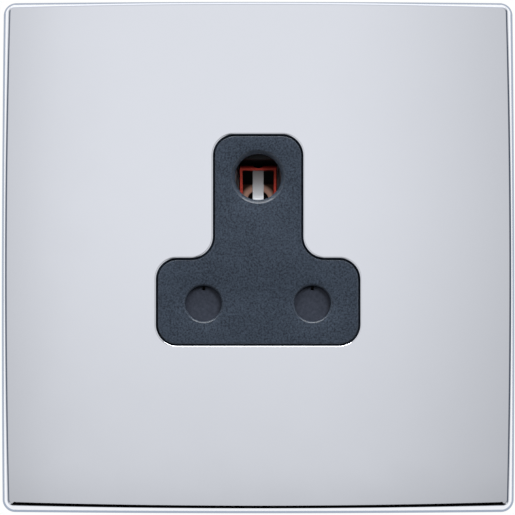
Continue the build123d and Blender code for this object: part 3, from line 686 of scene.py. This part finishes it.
# %% Skin of the insert
def make_insert():
    """Front moulding with its boss, chamfered apertures, block, flange and chamber."""
    skin = Skin()
    mouths, throats = [], []
    for x, z, radius, rim in APERTURES:
        profile = [
            (radius + rim + BREAK, BOSS_FRONT), (radius + rim, BOSS_FRONT + BREAK_SAG),
            (radius + rim - BREAK, BOSS_FRONT + BREAK), (radius + BREAK, BOSS_FRONT + rim - BREAK),
            (radius + BREAK_SAG, BOSS_FRONT + rim), (radius, BOSS_FRONT + rim + BREAK),
            (radius, WALL_BACK)]
        bore = [skin.ring(arc((x, z), reach, 0, 2 * math.pi, ROUND_STEPS), depth)
                for reach, depth in profile]
        skin.strip(*bore)
        mouths.append(bore[0])
        throats.append(bore[-1])
    edge = []
    for step in range(EDGE_STEPS + 1):
        turn = step / EDGE_STEPS * math.pi / 2
        edge.append(skin.ring(tee(-EDGE * (1 - math.sin(turn))),
                              BOSS_FRONT + EDGE * (1 - math.cos(turn))))
    skin.fill(edge[0], mouths)
    root = skin.ring(tee(0), BLOCK_FRONT)
    block_ring = box_ring(BLOCK_HALF, BLOCK_LOW, BLOCK_HIGH, BLOCK_CORNER)
    block = [skin.ring(block_ring, depth) for depth in (BLOCK_FRONT, 0)]
    flange_ring = box_ring(FRONT_HIGH.x, FRONT_LOW.z, FRONT_HIGH.z, FLANGE_CORNER)
    flange = [skin.ring(flange_ring, depth) for depth in (0, FLANGE_BACK)]
    chamber = tee_ring(  # wide below for the pads, narrow above for the cam
        CHAMBER_HALF, THROAT_HALF, CHAMBER_LOW, CHAMBER_SHOULDER, CHAMBER_TOP,
        CHAMBER_CORNER, CHAMBER_CORNER)
    pit = [skin.ring(chamber, depth) for depth in (FLANGE_BACK, WALL_BACK)]
    skin.strip(*edge, root)
    skin.fill(block[0], [root])
    skin.strip(*block)
    skin.fill(flange[0], [block[1]])
    skin.strip(*flange)
    skin.fill(flange[1], [pit[0]])
    skin.strip(*pit)
    skin.fill(pit[1], throats)
    return skin.build("slate_insert", slate)


insert = make_insert()
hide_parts("socket_front")
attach(insert, "socket")

# %% [markdown]
# ## Softened copies of the solids
# The other solids have the right shapes but razor edges, which no real moulding or pressing has. A
# copy of each is merged, its flat facets are joined, and its sharp edges get a small bevel that
# catches the light. On the moving pieces it is far smaller than their running gap.

# %% Soften the remaining solids
CAD_MERGE_M = 2e-7
FLAT_ANGLE = math.radians(0.5)
BEVEL_ANGLE = math.radians(35)


def bevel_edges(piece, width_mm):
    """Adds a small bevel on every edge that is sharper than a set angle."""
    bevel = piece.modifiers.new("soft edges", "BEVEL")
    bevel.width = width_mm * MM
    bevel.segments = 2
    bevel.limit_method = "ANGLE"
    bevel.angle_limit = BEVEL_ANGLE
    return bevel


def soften(node, material, bevel_mm, body, slot_name):
    """A copy of a CAD node with merged faces and bevelled edges, which stands for that node."""
    mesh = frame["nodes"][node].data.copy()
    work = bmesh.new()
    work.from_mesh(mesh)
    bmesh.ops.remove_doubles(work, verts=work.verts, dist=CAD_MERGE_M)
    bmesh.ops.dissolve_limit(
        work, angle_limit=FLAT_ANGLE, verts=work.verts, edges=work.edges, delimit={"NORMAL"})
    work.to_mesh(mesh)
    work.free()
    piece = settle(mesh, node + "_finished", material)
    bevel_edges(piece, bevel_mm).harden_normals = True
    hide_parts(node)
    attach(piece, body)


POLES = ("live", "neutral", "earth")
SOFTENED = [
    ("plate_clip_frame", black, 0.12, "socket", "black_moulding"),
    ("mounting_grid", zinc, 0.1, "socket", "zinc_plated_steel"),
    ("shutter_deck", black, 0.1, "socket", "black_moulding"),
    ("rear_housing", grey, 0.2, "socket", "grey_moulding"),
    ("shutter", charcoal, 0.06, "shutter", "charcoal_moulding"),
    ("shutter_cam", red, 0.05, "shutter", "red_moulding"),
    ("cam_wear_plate", nickel, 0.04, "shutter", "plated_strip"),
    *[(pole + "_contact", tinned, 0.05, "socket", "tinned_bronze") for pole in POLES],
    *[(pole + "_terminal", brass, 0.12, "socket", "brass") for pole in POLES],
    ("earth_strap", brass, 0.06, "socket", "brass"),
    ("strap_rivet", brass, 0.2, "socket", "brass_screw"),
]
for row in SOFTENED:
    soften(*row)

# %% [markdown]
# ## Return spring
# A coil of thin wire pushes the shutter back up: a spiral curve with a circle swept along it, made
# by Geometry Nodes.


# %% Start a geometry tree, and run it
def new_tree(name, inputs):
    """A geometry tree with named inputs; gives the tree and its input and output nodes."""
    tree = bpy.data.node_groups.new(name, "GeometryNodeTree")
    for way in ("INPUT", "OUTPUT"):
        tree.interface.new_socket("Geometry", in_out=way, socket_type="NodeSocketGeometry")
    for label, kind in inputs:
        tree.interface.new_socket(label, in_out="INPUT", socket_type=kind)
    return tree, add(tree, "NodeGroupInput"), add(tree, "NodeGroupOutput")


def grow(name, tree, values, mesh, bevel_mm=0.0):
    """Runs a tree on a mesh with its inputs set, and gives the result as a plain object."""
    seed = new_object(name + "_seed", mesh)
    modifier = seed.modifiers.new(name, "NODES")
    modifier.node_group = tree
    for item in tree.interface.items_tree:
        if item.in_out == "INPUT" and item.name in values:
            modifier[item.identifier] = values[item.name]
    if bevel_mm:
        bevel_edges(seed, bevel_mm)
    graph = bpy.context.evaluated_depsgraph_get()
    made = bpy.data.meshes.new_from_object(seed.evaluated_get(graph))
    bpy.data.objects.remove(seed)
    made.name = name
    print(name, "faces:", len(made.polygons))
    return new_object(name, made)


# %% Wind a wire, and end a tree
def wound(tree, steps, turns, radius, height, sides, thickness):
    """Mesh of a round section swept along a spiral."""
    path = add(tree, "GeometryNodeCurveSpiral", {
        "Resolution": steps, "Rotations": turns, "Height": height,
        "Start Radius": radius, "End Radius": radius})
    section = add(tree, "GeometryNodeCurvePrimitiveCircle", {
        "Resolution": sides, "Radius": thickness})
    return add(tree, "GeometryNodeCurveToMesh", {
        "Curve": path.outputs["Curve"], "Profile Curve": section.outputs["Curve"],
        "Fill Caps": True}).outputs["Mesh"]


def dress(tree, geometry, material, result):
    """Makes the geometry real, gives it a material and ends the tree with it."""
    real = add(tree, "GeometryNodeRealizeInstances", {"Geometry": geometry})
    dressed = add(tree, "GeometryNodeSetMaterial", {
        "Geometry": real.outputs["Geometry"], "Material": material})
    tree.links.new(dressed.outputs["Geometry"], result.inputs["Geometry"])
    print(tree.name, "nodes:", len(tree.nodes))


# %% Coil from Geometry Nodes
coil_tree, given, result = new_tree("coil_spring", [
    ("Turns", "NodeSocketFloat"), ("Mean radius", "NodeSocketFloat"), ("Height", "NodeSocketFloat"),
    ("Wire radius", "NodeSocketFloat"), ("Foot", "NodeSocketVector")])
COIL_STEPS, COIL_SIDES = 40, 12
coil = wound(coil_tree, COIL_STEPS, given.outputs["Turns"], given.outputs["Mean radius"],
             given.outputs["Height"], COIL_SIDES, given.outputs["Wire radius"])
stood = add(coil_tree, "GeometryNodeTransform", {
    "Geometry": coil, "Translation": given.outputs["Foot"]})
dress(coil_tree, stood.outputs["Geometry"], wire, result)

# %% Stand the coil on its seat
COIL_TURNS = 7.0
WIRE_RADIUS = 0.175 * MM
SPRING_LOW, SPRING_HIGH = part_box("shutter_spring")
SPRING_AXIS = (SPRING_LOW + SPRING_HIGH) / 2
SPRING_LENGTH = SPRING_HIGH.z - SPRING_LOW.z
spring = grow("return_spring", coil_tree, {
    "Turns": COIL_TURNS,
    "Mean radius": (SPRING_HIGH.x - SPRING_LOW.x) / 2 - WIRE_RADIUS,
    "Height": SPRING_LENGTH - 2 * WIRE_RADIUS,
    "Wire radius": WIRE_RADIUS,
    "Foot": (SPRING_AXIS.x, SPRING_AXIS.y, SPRING_LOW.z + WIRE_RADIUS),
}, bpy.data.meshes.new("spring"))
spring.data.shade_smooth()
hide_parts("shutter_spring")
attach(spring, "socket")
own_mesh(spring)

# %% [markdown]
# ## Slotted screws
# Two clamp screws, a longer one for earth and four module screws are one part in different sizes.
# One tree builds it from a cylinder with a slot taken away and a ridge that winds round the shank,
# and places it on points. Each copy is turned by a random angle with a fixed seed, because no
# fitter leaves all slots level.

# %% Sizes of a screw, and those that follow from them
SCREW_INPUTS = ["Head radius", "Head height", "Slot width", "Shank radius", "Shank length", "Pitch"]
SUMS = [
    ("Half head", "MULTIPLY", "Head height", 0.5),
    ("Slot length", "MULTIPLY", "Head radius", 3.0),
    ("Core radius", "MULTIPLY", "Shank radius", 0.86),
    ("Half shank", "MULTIPLY", "Shank length", -0.5),
    ("Thread run", "SUBTRACT", "Shank length", "Pitch"),
    ("Thread turns", "DIVIDE", "Thread run", "Pitch"),
    ("Thread radius", "MULTIPLY", "Shank radius", 0.88),
    ("Ridge radius", "MULTIPLY", "Shank radius", 0.11),
    ("Thread foot", "MULTIPLY", "Shank length", -0.97),
]
screw_tree, given, result = new_tree("slotted_screw", [
    *[(label, "NodeSocketFloat") for label in SCREW_INPUTS], ("Facing", "NodeSocketVector"),
    ("Seed", "NodeSocketInt"), ("Finish", "NodeSocketMaterial")])
sizes = {label: given.outputs[label] for label in SCREW_INPUTS}
for label, operation, first, second in SUMS:
    sizes[label] = add(screw_tree, "ShaderNodeMath", {
        0: sizes[first], 1: sizes.get(second, second)}, operation=operation).outputs["Value"]


def along_axis(mesh, distance):
    """Moves a mesh along the screw's axis by one of its sizes, and gives the moved one."""
    shift = add(screw_tree, "ShaderNodeCombineXYZ", {"Z": sizes[distance]})
    return add(screw_tree, "GeometryNodeTransform", {
        "Geometry": mesh, "Translation": shift.outputs["Vector"]}).outputs["Geometry"]


print("sizes of a screw:", len(sizes))

# %% Head with its slot, shank with its thread
HEAD_SIDES, CORE_SIDES = 48, 32
RIDGE_STEPS, RIDGE_SIDES = 24, 4
head = add(screw_tree, "GeometryNodeMeshCylinder", {
    "Vertices": HEAD_SIDES, "Radius": sizes["Head radius"], "Depth": sizes["Head height"]})
slot_size = add(screw_tree, "ShaderNodeCombineXYZ", {
    "X": sizes["Slot length"], "Y": sizes["Slot width"], "Z": sizes["Head height"]})
slot_cut = add(screw_tree, "GeometryNodeMeshCube", {"Size": slot_size.outputs["Vector"]})
slotted = add(screw_tree, "GeometryNodeMeshBoolean", {
    "Mesh 1": along_axis(head.outputs["Mesh"], "Half head")}, operation="DIFFERENCE")
screw_tree.links.new(along_axis(slot_cut.outputs["Mesh"], "Head height"), slotted.inputs["Mesh 2"])
core = add(screw_tree, "GeometryNodeMeshCylinder", {
    "Vertices": CORE_SIDES, "Radius": sizes["Core radius"], "Depth": sizes["Shank length"]})
ridge = wound(screw_tree, RIDGE_STEPS, sizes["Thread turns"], sizes["Thread radius"],
              sizes["Thread run"], RIDGE_SIDES, sizes["Ridge radius"])
screw = add(screw_tree, "GeometryNodeJoinGeometry")
for part in (slotted.outputs["Mesh"], along_axis(core.outputs["Mesh"], "Half shank"),
             along_axis(ridge, "Thread foot")):
    screw_tree.links.new(part, screw.inputs["Geometry"])
print("parts of a screw:", len(screw.inputs["Geometry"].links))

# %% Copies on points, each turned its own way
turn = add(screw_tree, "FunctionNodeRandomValue", {
    2: 0.0, 3: math.pi, "Seed": given.outputs["Seed"]}, data_type="FLOAT")
spin = add(screw_tree, "ShaderNodeCombineXYZ", {"Z": turn.outputs[1]})
facing = add(screw_tree, "FunctionNodeAlignRotationToVector", {
    "Vector": given.outputs["Facing"]}, axis="Z")
posed = add(screw_tree, "FunctionNodeRotateRotation", {
    "Rotation": facing.outputs["Rotation"]}, rotation_space="LOCAL")
screw_tree.links.new(spin.outputs["Vector"], posed.inputs["Rotate By"])
copies = add(screw_tree, "GeometryNodeInstanceOnPoints", {
    "Points": given.outputs["Geometry"], "Instance": screw.outputs["Geometry"],
    "Rotation": posed.outputs["Rotation"]})
dress(screw_tree, copies.outputs["Instances"], given.outputs["Finish"], result)

# %% Place the screws
SCREW_BEVEL_MM = 0.12
CLAMP = {
    "Head radius": 2.3 * MM, "Head height": 1.8 * MM, "Slot width": 0.8 * MM, "Pitch": 0.7 * MM,
    "Shank radius": 1.7 * MM, "Shank length": 2.8 * MM, "Facing": (0, 1, 0), "Finish": brass,
    "Seed": 3}
EARTH_CLAMP = {**CLAMP, "Shank length": 3.4 * MM, "Seed": 5}
MODULE = {
    **CLAMP, "Head height": 1.5 * MM, "Pitch": 0.8 * MM, "Shank radius": 1.4 * MM,
    "Shank length": 7.0 * MM, "Facing": (0, -1, 0), "Finish": zinc, "Seed": 8}


def screws(name, node, sizes, seats):
    """Screws of one CAD node, with the underside of their heads at the seats."""
    points = bpy.data.meshes.new(name)
    points.from_pydata(seats, [], [])
    piece = grow(name, screw_tree, sizes, points, SCREW_BEVEL_MM)
    piece.data.shade_smooth()
    piece.data.set_sharp_from_angle(angle=SMOOTH_ANGLE)
    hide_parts(node)
    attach(piece, "socket")


low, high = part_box("line_terminal_screws")
clamp_x, clamp_z = high.x - CLAMP["Head radius"], (low.z + high.z) / 2
clamp_y = high.y - CLAMP["Head height"]
screws("clamp_screws", "line_terminal_screws", CLAMP,
       [(side * clamp_x, clamp_y, clamp_z) for side in (-1, 1)])
low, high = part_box("earth_terminal_screw")
screws("earth_clamp_screw", "earth_terminal_screw", EARTH_CLAMP,
       [(0, high.y - CLAMP["Head height"], (low.z + high.z) / 2)])
low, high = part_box("module_screws")
screws("grid_screws", "module_screws", MODULE,
       [(side * (high.x - MODULE["Head radius"]), low.y + MODULE["Head height"], z)
        for side in (-1, 1)
        for z in (low.z + MODULE["Head radius"], high.z - MODULE["Head radius"])])

# %% [markdown]
# ## Studio floor
# The socket floats over a pale sheet of paper that is lit from below, so that it stays white. It
# is clear when seen from underneath, because it would hide the object there. One function makes
# every piece of the stage and says which rays see it.


# %% Floor
def stage_panel(skin, name, material, sights):
    """A stage piece from a skin, with the kinds of ray that see it."""
    panel = skin.build(name, material)
    for kind in ("camera", "diffuse", "glossy", "shadow", "transmission"):
        setattr(panel, "visible_" + kind, kind in sights)
    return panel


FLOOR_HALF, FLOOR_Z = 3000.0, -90.0
paper, tree, shader = new_finish(
    "studio_paper_lit_from_below", Base_Color=linear("#f2f2f2"), Roughness=0.9,
    Emission_Color=linear("#ffffff"), Emission_Strength=0.55)
clear = add(tree, "ShaderNodeBsdfTransparent").outputs["BSDF"]
under = add(tree, "ShaderNodeNewGeometry").outputs["Backfacing"]
sheet = add(tree, "ShaderNodeMixShader", {"Fac": under, 1: shader.outputs["BSDF"], 2: clear})
tree.links.new(sheet.outputs["Shader"], tree.nodes["Material Output"].inputs["Surface"])
skin = Skin()
skin.faces.append(skin.ring3([(x * FLOOR_HALF, y * FLOOR_HALF, FLOOR_Z)
                              for x, y in ((-1, -1), (1, -1), (1, 1), (-1, 1))]))
floor = stage_panel(skin, "floor", paper, ("camera", "shadow"))
print("floor faces", "up" if floor.data.polygons[0].normal.z > 0 else "down")

# %% [markdown]
# ## Strips beside the plate
# Chrome is lit by what it mirrors, and its arris mirrors what lies right beside the plate. Thin
# strips stand there that only reflections see: pale at the top, grey at the sides, black below.

# %% Strips
CORNER_WRAP = 4  # steps by which a strip goes round into the corners
TOP, RIGHT, LOW, LEFT = range(4)
STRIPS = [  # name, side, colour, strength, then how far out and how deep its two edges lie
    ("top_glow", TOP, "#ffffff", 1.35, (-0.15, -3.75), (-0.15, -5.1)),
    ("top_strip", TOP, "#dfe1e6", 1.0, (-0.15, -5.1), (-0.35, -6.35)),
    ("right_strip", RIGHT, "#5c636e", 1.0, (-0.15, -4.85), (-0.7, -6.4)),
    ("low_strip", LOW, "#020202", 1.0, (-0.15, -4.75), (-1.2, -6.4)),
    ("left_strip", LEFT, "#737a85", 1.0, (-0.15, -4.85), (-0.7, -6.4)),
]


def alongside(quarter, out, depth):
    """Points along a side of the plate and into its corners, clockwise from the top."""
    ring = bowed_square(PLATE_HALF + out, *FACE_SHAPE)
    first = quarter * (SIDE_STEPS + ARC_STEPS)
    run = range(first - CORNER_WRAP, first + SIDE_STEPS + CORNER_WRAP + 1)
    return [(x, depth, z) for x, z in (ring[i % len(ring)] for i in run)]


def plain_light(name, code, strength):
    """A material that only glows, for what is seen in reflections alone."""
    material = bpy.data.materials.new(name)
    material.use_nodes = True
    tree = material.node_tree
    tree.nodes.clear()
    glow = add(tree, "ShaderNodeEmission", {"Color": linear(code), "Strength": strength})
    add(tree, "ShaderNodeOutputMaterial", {"Surface": glow.outputs["Emission"]})
    return material


for name, quarter, code, strength, back, front in STRIPS:
    skin = Skin()
    near, far = skin.ring3(alongside(quarter, *back)), skin.ring3(alongside(quarter, *front))
    skin.faces += [(near[i], near[i + 1], far[i + 1], far[i]) for i in range(len(near) - 1)]
    stage_panel(skin, name, plain_light(name, code, strength), ("glossy",))

# %% [markdown]
# ## Wall behind the plate
# The skirt mirrors the white wall close behind it, with the soft shadow that the plate casts
# there. Both are flat panels that only reflections see.

# %% Wall with the plate's narrow shadow
WALL_HALF, WALL_CORNER = 140.0, 5.0
SHADE_MM, SHADE_DROP_MM = 0.36, 0.07


def shade_ring(skin):
    """Outer edge of the shadow, a little lower than the plate because the light is above."""
    bow, corner = REAR_SHAPE
    outline = bowed_square(PLATE_HALF + SHADE_MM, bow, corner + SHADE_MM)
    return skin.ring([(x, z - SHADE_DROP_MM) for x, z in outline], 0.0)


shadow = Skin()
shadow.strip(shadow.ring(bowed_square(PLATE_HALF, *REAR_SHAPE), 0.0), shade_ring(shadow))
stage_panel(shadow, "wall_shadow", plain_light("wall_shadow", "#b4bdcb", 1.0), ("glossy",))
wall = Skin()
wall_edge = wall.ring(box_ring(WALL_HALF, -WALL_HALF, WALL_HALF, WALL_CORNER), 0.0)
wall.fill(wall_edge, [shade_ring(wall)])
stage_panel(wall, "wall", plain_light("white_wall", "#ffffff", 1.1), ("glossy",))

# %% [markdown]
# ## Lamps
# Soft boxes light the mouldings and reach into the apertures. The three in front stay out of
# reflections, so that they don't show as spots in the chrome. The ones above and behind are
# mirrored as well.

# %% Lamps
LAMPS = [  # name, place, width and height in metres, power in watts, shown in reflections
    ("key_right", (0.2, -1.0, 0.22), (0.25, 0.25), 4.1, False),
    ("key_left", (-0.25, -1.0, 0.12), (0.25, 0.25), 1.5, False),
    ("key_from_above", (0.12, -0.5, 0.6), (0.35, 0.35), 1.2, False),
    ("top_light", (0, -0.12, 0.7), (0.9, 0.35), 8.2, True),
    ("fill_behind", (-0.4, 0.7, 0.6), (0.5, 0.5), 2.5, True),
]
for name, place, size, power, mirrored in LAMPS:
    lamp = bpy.data.lights.new(name, "AREA")
    lamp.shape = "RECTANGLE"
    lamp.size, lamp.size_y = size
    lamp.energy = power
    holder = new_object(name, lamp)
    holder.location = place
    holder.rotation_euler = (-Vector(place)).to_track_quat("-Z", "Y").to_euler()
    holder.visible_glossy = mirrored
print("lamps:", [name for name, *_ in LAMPS])

# %% [markdown]
# ## World
# The camera stood a little below the middle, so the face mirrors a pale tent in front of it, which
# is brightest in the middle and above. The world draws this tent for reflections only, as a product
# of soft ramps over the direction of the ray. The camera sees plain white, and everything else gets
# a weak fill that comes mostly from above.

# %% Soft ramps over directions
FILL_ABOVE, FILL_BELOW = 0.4, 0.06
RAMPS = {  # name: direction, where the ramp starts and ends, value before and after it
    "left edge": ("X", -0.078, -0.05, 0.8, 1.0),
    "left": ("X", -0.07, -0.03, 0.94, 1.0),
    "right": ("X", 0.01, 0.155, 1.0, 0.33),
    "low": ("Z", -0.03, 0.01, 0.55, 1.0),
    "rising": ("Z", -0.03, 0.09, 0.82, 1.0),
    "below": ("Z", -0.14, -0.03, 1.9, 1.0),
    "far below": ("Z", -0.7, -0.4, 0.62, 1.0),
    "to the sides": ("aside", 0.2, 0.5, 0.0, 1.0),
    "near the wall": ("Y", -0.3, -0.12, 0.0, 1.0),
    "not above": ("Z", 0.2, 0.5, 1.0, 0.0),
    "behind": ("Y", 0.0, 0.2, 0.0, 1.0),
    "fill": ("Z", -0.4, 0.6, FILL_BELOW, FILL_ABOVE),
}
world = bpy.data.worlds.new("studio_tent")
bpy.context.scene.world = world
world.use_nodes = True
tree = world.node_tree
tree.nodes.clear()
way = add(tree, "ShaderNodeTexCoord").outputs["Generated"]
way = add(tree, "ShaderNodeSeparateXYZ", {"Vector": way}).outputs
aside = add(tree, "ShaderNodeMath", {0: way["X"]}, operation="ABSOLUTE").outputs["Value"]
ways = {"X": way["X"], "Y": way["Y"], "Z": way["Z"], "aside": aside}
soft = {}
for name, (direction, start, end, before, after) in RAMPS.items():
    soft[name] = add(tree, "ShaderNodeMapRange", {
        "Value": ways[direction], "From Min": start, "From Max": end,
        "To Min": before, "To Max": after}, interpolation_type="SMOOTHSTEP").outputs["Result"]
print("ramps:", len(soft))

# %% Tent, backdrop and fill
TENT = ["left edge", "left", "right", "low", "rising", "below", "far below"]
SIDES, BACKDROP, DIM_EDGE = 0.9, 1.1, 0.15
tent = 1.0
for name in TENT:
    tent = add(tree, "ShaderNodeMath", {0: tent, 1: soft[name]}, operation="MULTIPLY")
    tent = tent.outputs["Value"]
tent = add(tree, "ShaderNodeMix", {"Factor": soft["to the sides"], "A": tent, "B": SIDES})
dim = add(tree, "ShaderNodeMath", {
    0: soft["near the wall"], 1: soft["not above"]}, operation="MULTIPLY")
dim = add(tree, "ShaderNodeMapRange", {
    "Value": dim.outputs["Value"], "To Min": 1.0, "To Max": DIM_EDGE},
    interpolation_type="SMOOTHSTEP")
tent = add(tree, "ShaderNodeMath", {
    0: tent.outputs["Result"], 1: dim.outputs["Result"]}, operation="MULTIPLY")
mirrored = add(tree, "ShaderNodeMix", {
    "Factor": soft["behind"], "A": tent.outputs["Value"], "B": BACKDROP})
ray = add(tree, "ShaderNodeLightPath").outputs
seen = add(tree, "ShaderNodeMix", {
    "Factor": ray["Is Glossy Ray"], "A": soft["fill"], "B": mirrored.outputs["Result"]})
seen = add(tree, "ShaderNodeMix", {
    "Factor": ray["Is Camera Ray"], "A": seen.outputs["Result"], "B": 1.0})
sky = add(tree, "ShaderNodeBackground", {
    "Color": (1, 1, 1, 1), "Strength": seen.outputs["Result"]})
add(tree, "ShaderNodeOutputWorld", {"Surface": sky.outputs["Background"]})
print("world nodes:", len(tree.nodes))

# %% [markdown]
# ## Camera
# The plate fills the picture. Its face sits a little above the middle of its outline, which says
# that the camera looked up by a few degrees, and its sides stay parallel, which says that it stood
# far back with a long lens.

# %% Camera
PICTURE_PX, PLATE_PX = 515, 512.4
LOOK_UP = math.radians(3.7)
STAND_OFF = 1.2
AIM = Vector((-0.11, 0, -0.09)) * MM
view_width = 2 * PLATE_HALF * MM * PICTURE_PX / PLATE_PX
camera = bpy.data.cameras.new("camera")
camera.sensor_width = 36
camera.lens = camera.sensor_width * STAND_OFF / view_width
camera.clip_end = 20
viewer = new_object("camera", camera)
viewer.location = AIM + STAND_OFF * Vector((0, -math.cos(LOOK_UP), -math.sin(LOOK_UP)))
viewer.rotation_euler = (math.pi / 2 + LOOK_UP, 0, 0)
bpy.context.scene.camera = viewer
bpy.context.scene.view_settings.view_transform = "Standard"
print("lens:", round(camera.lens), "mm")
